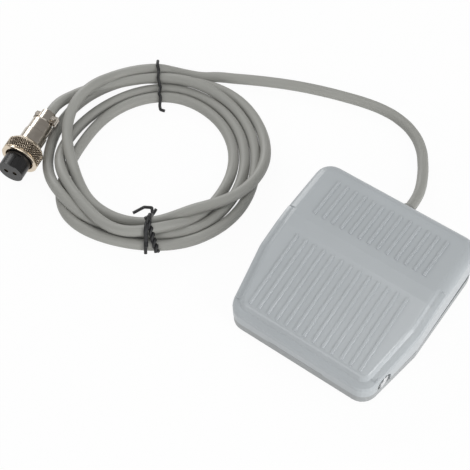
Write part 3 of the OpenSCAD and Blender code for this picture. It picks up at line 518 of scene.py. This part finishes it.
# %% Cut the knurl
RING_OUTER = 12.0
DIAMONDS, DIAMOND_RISE = 46, 1.6
BAND_LOW, BAND_HIGH, BAND_FADE = 2.6, 9.8, 0.4
KNURL_DEPTH = 0.6


def knurl(angle, height):
    edge = min(1.0, max(0.0, (height - BAND_LOW) / BAND_FADE),
               max(0.0, (BAND_HIGH - height) / BAND_FADE))
    if edge <= 0:
        return 0.0
    one = (angle * DIAMONDS / math.tau + height / DIAMOND_RISE) % 1
    two = (angle * DIAMONDS / math.tau - height / DIAMOND_RISE) % 1
    groove = max(abs(one - 0.5), abs(two - 0.5)) * 2
    return -KNURL_DEPTH * edge * groove ** 2


print("cut", round(-knurl(0, 3 * DIAMOND_RISE), 2), "mm in a groove and",
      round(-knurl(0, 3.5 * DIAMOND_RISE), 2), "mm on a tip")

# %% [markdown]
# The rest of the ring is a turned profile: a radius and a height for each corner, swept
# round the plug's axis. The band takes 44 rows of 368 points, eight to a diamond, so that
# the light breaks on the knurl as it should. Each point remembers how deep it was cut, and
# its finish uses that later to paint shade into the grooves.

# %% Turn the ring
PLUG = Vector((-223, -4, 12)) * MM
PLUG_TURN = math.radians(-78)
AXIS = Vector((math.cos(PLUG_TURN), math.sin(PLUG_TURN), 0))
ACROSS = Vector((-AXIS.y, AXIS.x, 0))
RING_BACK, AROUND = 27.0, 8 * DIAMONDS
BAND_ROWS, ROW_STEP = 44, 0.17


def turned_ring():
    rows = [(7.75, 0), (9.8, 0), (10.6, 0.8), (11.4, 2.0), (11.8, 2.5)]
    rows += [(RING_OUTER, BAND_LOW + ROW_STEP * k) for k in range(BAND_ROWS)]
    rows += [(11.6, 10.0), (11.6, 10.3), (11.95, 10.5), (11.95, 11.1), (11.4, 11.5),
             (9.8, 11.5), (9.35, 11.3), (9.2, 10.9), (9.2, 4.0), (7.75, 4.0)]
    points, faces, depths = [], [], []
    for radius, height in rows:
        for k in range(AROUND):
            a = math.tau * k / AROUND
            cut = knurl(a, height) if radius == RING_OUTER else 0
            depths.append(-cut / KNURL_DEPTH)
            r = (radius + cut) * MM
            points.append(PLUG + AXIS * (RING_BACK + height) * MM
                          + ACROSS * r * math.cos(a) + Vector((0, 0, r * math.sin(a))))
    for j in range(len(rows)):
        a, b = j * AROUND, ((j + 1) % len(rows)) * AROUND
        for k in range(AROUND):
            m = (k + 1) % AROUND
            faces.append((a + k, b + k, b + m, a + m))
    mesh = bpy.data.meshes.new("knurled_ring")
    mesh.from_pydata(points, [], faces)
    mesh.attributes.new("groove", "FLOAT", "POINT").data.foreach_set("value", depths)
    return put("knurled_ring", mesh)


ring = turned_ring()
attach(ring, "ring")
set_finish(ring, "nickel")
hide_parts("coupling_ring")
print("ring:", len(ring.data.polygons), "faces")

# %% [markdown]
# ## The grip ribs
# Both decks of the treadle carry thirteen ribs, which keep a shoe from sliding. The solid
# has them square. Their tops are rounded on the real moulding and catch the light along one
# flank. A bevel on the whole treadle would round every other edge too, so each rib gets a
# crown of its own, swept along it and drawn in to a point at both ends. The heel deck
# slopes by 11.5 degrees up to the crease, and the toe deck is level.

# %% Round the ribs
DECK_TOP, CREASE, HEEL_SLOPE = 32.4, 7.5, math.radians(11.5)
RIBS, RIB_PITCH = 13, 6.0
HEEL_RIB, TOE_RIB = (-47.0, 0.9), (17.0, 44.0)
HALF_RIB, CROWN_RISE, CROWN_SUNK = 0.95, 0.78, 0.12
CROWN_PARTS, END_PARTS = 10, 5


def deck_height(y):
    return DECK_TOP - max(0.0, CREASE - y) * math.tan(HEEL_SLOPE)


def rib_crown(x, start, end, points, faces):
    ease = [HALF_RIB * (1 - math.cos(math.pi / 2 * k / END_PARTS))
            for k in range(END_PARTS + 1)]
    steps = [start + e for e in ease] + [end - e for e in reversed(ease)]
    first, row = len(points), CROWN_PARTS + 1
    for y in steps:
        short = max(0.0, 1 - min(y - start, end - y) / HALF_RIB)
        size = math.sqrt(max(0.0, 1 - short ** 2))
        for k in range(row):
            a = math.pi * k / CROWN_PARTS
            points.append(Vector((x - HALF_RIB * size * math.cos(a), y, deck_height(y)
                                  - CROWN_SUNK + CROWN_RISE * size * math.sin(a))) * MM)
    for j in range(len(steps) - 1):
        for k in range(CROWN_PARTS):
            a = first + j * row + k
            faces.append((a, a + 1, a + row + 1, a + row))


points, faces = [], []
for k in range(RIBS):
    for start, end in (HEEL_RIB, TOE_RIB):
        rib_crown((k - RIBS // 2) * RIB_PITCH, start, end, points, faces)
mesh = bpy.data.meshes.new("rib_crowns")
mesh.from_pydata(points, [], faces)
mesh.shade_smooth()
crowns = put("rib_crowns", mesh)
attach(crowns, "treadle")
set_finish(crowns, "treadle_grey")
print("ribs:", len(faces), "faces")

# %% [markdown]
# ## Return springs
# Two coil springs push the treadle up, each with its foot in a cup of the base. One that
# moved stiffly with the treadle would sink into the base at full press. Here the springs'
# solid only gets a mesh of its own, which no other object shares.

# %% Give the springs a mesh of their own
springs = frame["nodes"]["return_springs"]
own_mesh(springs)

# %% [markdown]
# ## Finishes
# Moulded plastic has the faint orange peel of its tool, and paint and rubber are rougher.
# One flat colour would look like a toy. So each finish drifts between two close tones in
# blotches of about 30 mm, its roughness changes every few millimetres, and a fine bump
# gives it the grain of the real surface.

# %% Plastics, paint and rubber
BLOTCHES, SCUFFS = 35, 260


def moulded(name, dark, light, rough, peel=1400, depth=0.00004, spread=0.05):
    finish = Finish(name, IOR=1.5)
    finish.feed("Base Color",
                finish.tones(finish.grain(BLOTCHES, 2), colour(*dark), colour(*light)))
    finish.feed("Roughness", finish.grain(SCUFFS) * spread + (rough - spread / 2))
    finish.bump(finish.grain(peel, 2), depth)
    return finish.material


finishes = {
    "treadle_grey": moulded("treadle_plastic", (172, 177, 180), (179, 184, 187), 0.34),
    "base_paint": moulded("base_paint", (152, 155, 156), (162, 165, 166), 0.45, 900, 0.00008),
    "foot_rubber": moulded("foot_rubber", (38, 38, 38), (50, 50, 50), 0.8, 700, 0.0001),
    "switch_black": moulded("switch_case_plastic", (28, 28, 30), (36, 36, 38), 0.5),
    "plunger_red": moulded("plunger_plastic", (150, 34, 28), (172, 46, 36), 0.4),
    "wire_brown": moulded("brown_core", (88, 54, 34), (104, 66, 44), 0.45),
    "wire_blue": moulded("blue_core", (36, 70, 138), (50, 88, 156), 0.45),
    "cord_grey": moulded("cord_sheath", (149, 149, 144), (158, 158, 153), 0.5, 1100,
                         0.00005, 0.12),
    "gland_grey": moulded("gland_rubber", (132, 132, 128), (144, 144, 140), 0.6),
    "tie_black": moulded("tie_sheath", (24, 24, 25), (38, 38, 40), 0.5, 600, 0.0001),
    "insert_black": moulded("insert_plastic", (20, 20, 21), (30, 29, 30), 0.34),
}
print(len(finishes), "soft finishes")

# %% [markdown]
# Metal shows what is round it more than its own colour, so the work is in its roughness. It
# could be polished all over, but plated and pressed parts are cloudy: a finer noise makes
# the shine uneven. The turned plug also has tool rings. Noise that is read along one line
# only, the plug's axis, stays the same round it, and so gives those rings.

# %% Metals
CLOUDS, SMEARS, GRIT, TOOL_RINGS = 160, 420, 1800, 2600
SMEAR_SPREAD = 0.16


def metal(name, dark, light, rough, depth=0.00003, rings=None):
    finish = Finish(name, Metallic=1.0)
    finish.feed("Base Color",
                finish.tones(finish.grain(CLOUDS, 4), colour(*dark), colour(*light)))
    finish.feed("Roughness",
                finish.grain(SMEARS, 4) * SMEAR_SPREAD + (rough - SMEAR_SPREAD / 2))
    if rings is None:
        fine = finish.grain(GRIT, 2)
    else:
        line = finish.node("ShaderNodeVectorMath", {"operation": "DOT_PRODUCT"},
                           {0: finish.place, 1: rings}, "Value")
        fine = finish.node("ShaderNodeTexNoise", {}, {
            "Vector": finish.node("ShaderNodeCombineXYZ", {}, {0: line}),
            "Scale": TOOL_RINGS, "Detail": 2})
    finish.bump(fine, depth)
    return finish.material


finishes.update({
    "zinc": metal("zinc_plate", (206, 208, 210), (232, 233, 234), 0.42),
    "bracket_steel": metal("bracket_steel", (150, 152, 154), (180, 182, 184), 0.42),
    "spring_steel": metal("spring_steel", (132, 134, 136), (160, 162, 164), 0.35),
    "brass": metal("brass", (190, 154, 84), (214, 180, 106), 0.34),
    "nickel": metal("nickel_plate", (176, 167, 156), (204, 196, 186), 0.2, 0.00001,
                    tuple(AXIS)),
})
print(len(finishes), "finishes in all")

# %% [markdown]
# The knurl's grooves lie in shade, and that shade is painted into the ring's colour. Noise
# could darken it at random, but the ring's points know how deep they were cut. So its nickel
# is painted dark in the grooves as shade, and dull there, and bright on the tips, with a little
# noise to break that up.

# %% The ring's own nickel
def knurled_nickel():
    finish = Finish("knurled_nickel", Metallic=1.0)
    groove = finish.node("ShaderNodeAttribute", {"attribute_name": "groove"}, out="Fac")
    # painted shade: the deeper a point was cut, the darker its colour
    groove_shade = groove * 1.5 + finish.grain(500) * 0.25 - 0.1
    finish.feed("Base Color", finish.tones(groove_shade, colour(214, 200, 180), colour(62, 50, 40)))
    finish.feed("Roughness", groove * 0.3 + 0.2)
    finish.bump(finish.grain(GRIT, 2), 0.00001)
    return finish.material


finishes["knurled"] = knurled_nickel()
print("knurled nickel mixed")

# %% [markdown]
# The record says which finish each solid wears, so one loop dresses them all. Our own
# pieces carry slot names from the same list, and a second loop reads those.

# %% Dress every piece
for part in frame["record"]["subparts"]:
    for slot in frame["nodes"][part["node"]].material_slots:
        slot.material = finishes[part["material_slot"]]
own = [thing for thing in bpy.data.objects if thing.get("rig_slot")]
for thing in own:
    thing.data.materials.clear()
    thing.data.materials.append(finishes["knurled" if thing is ring else thing["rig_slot"]])
print("dressed", len(frame["nodes"]), "solids and", len(own), "pieces of our own")
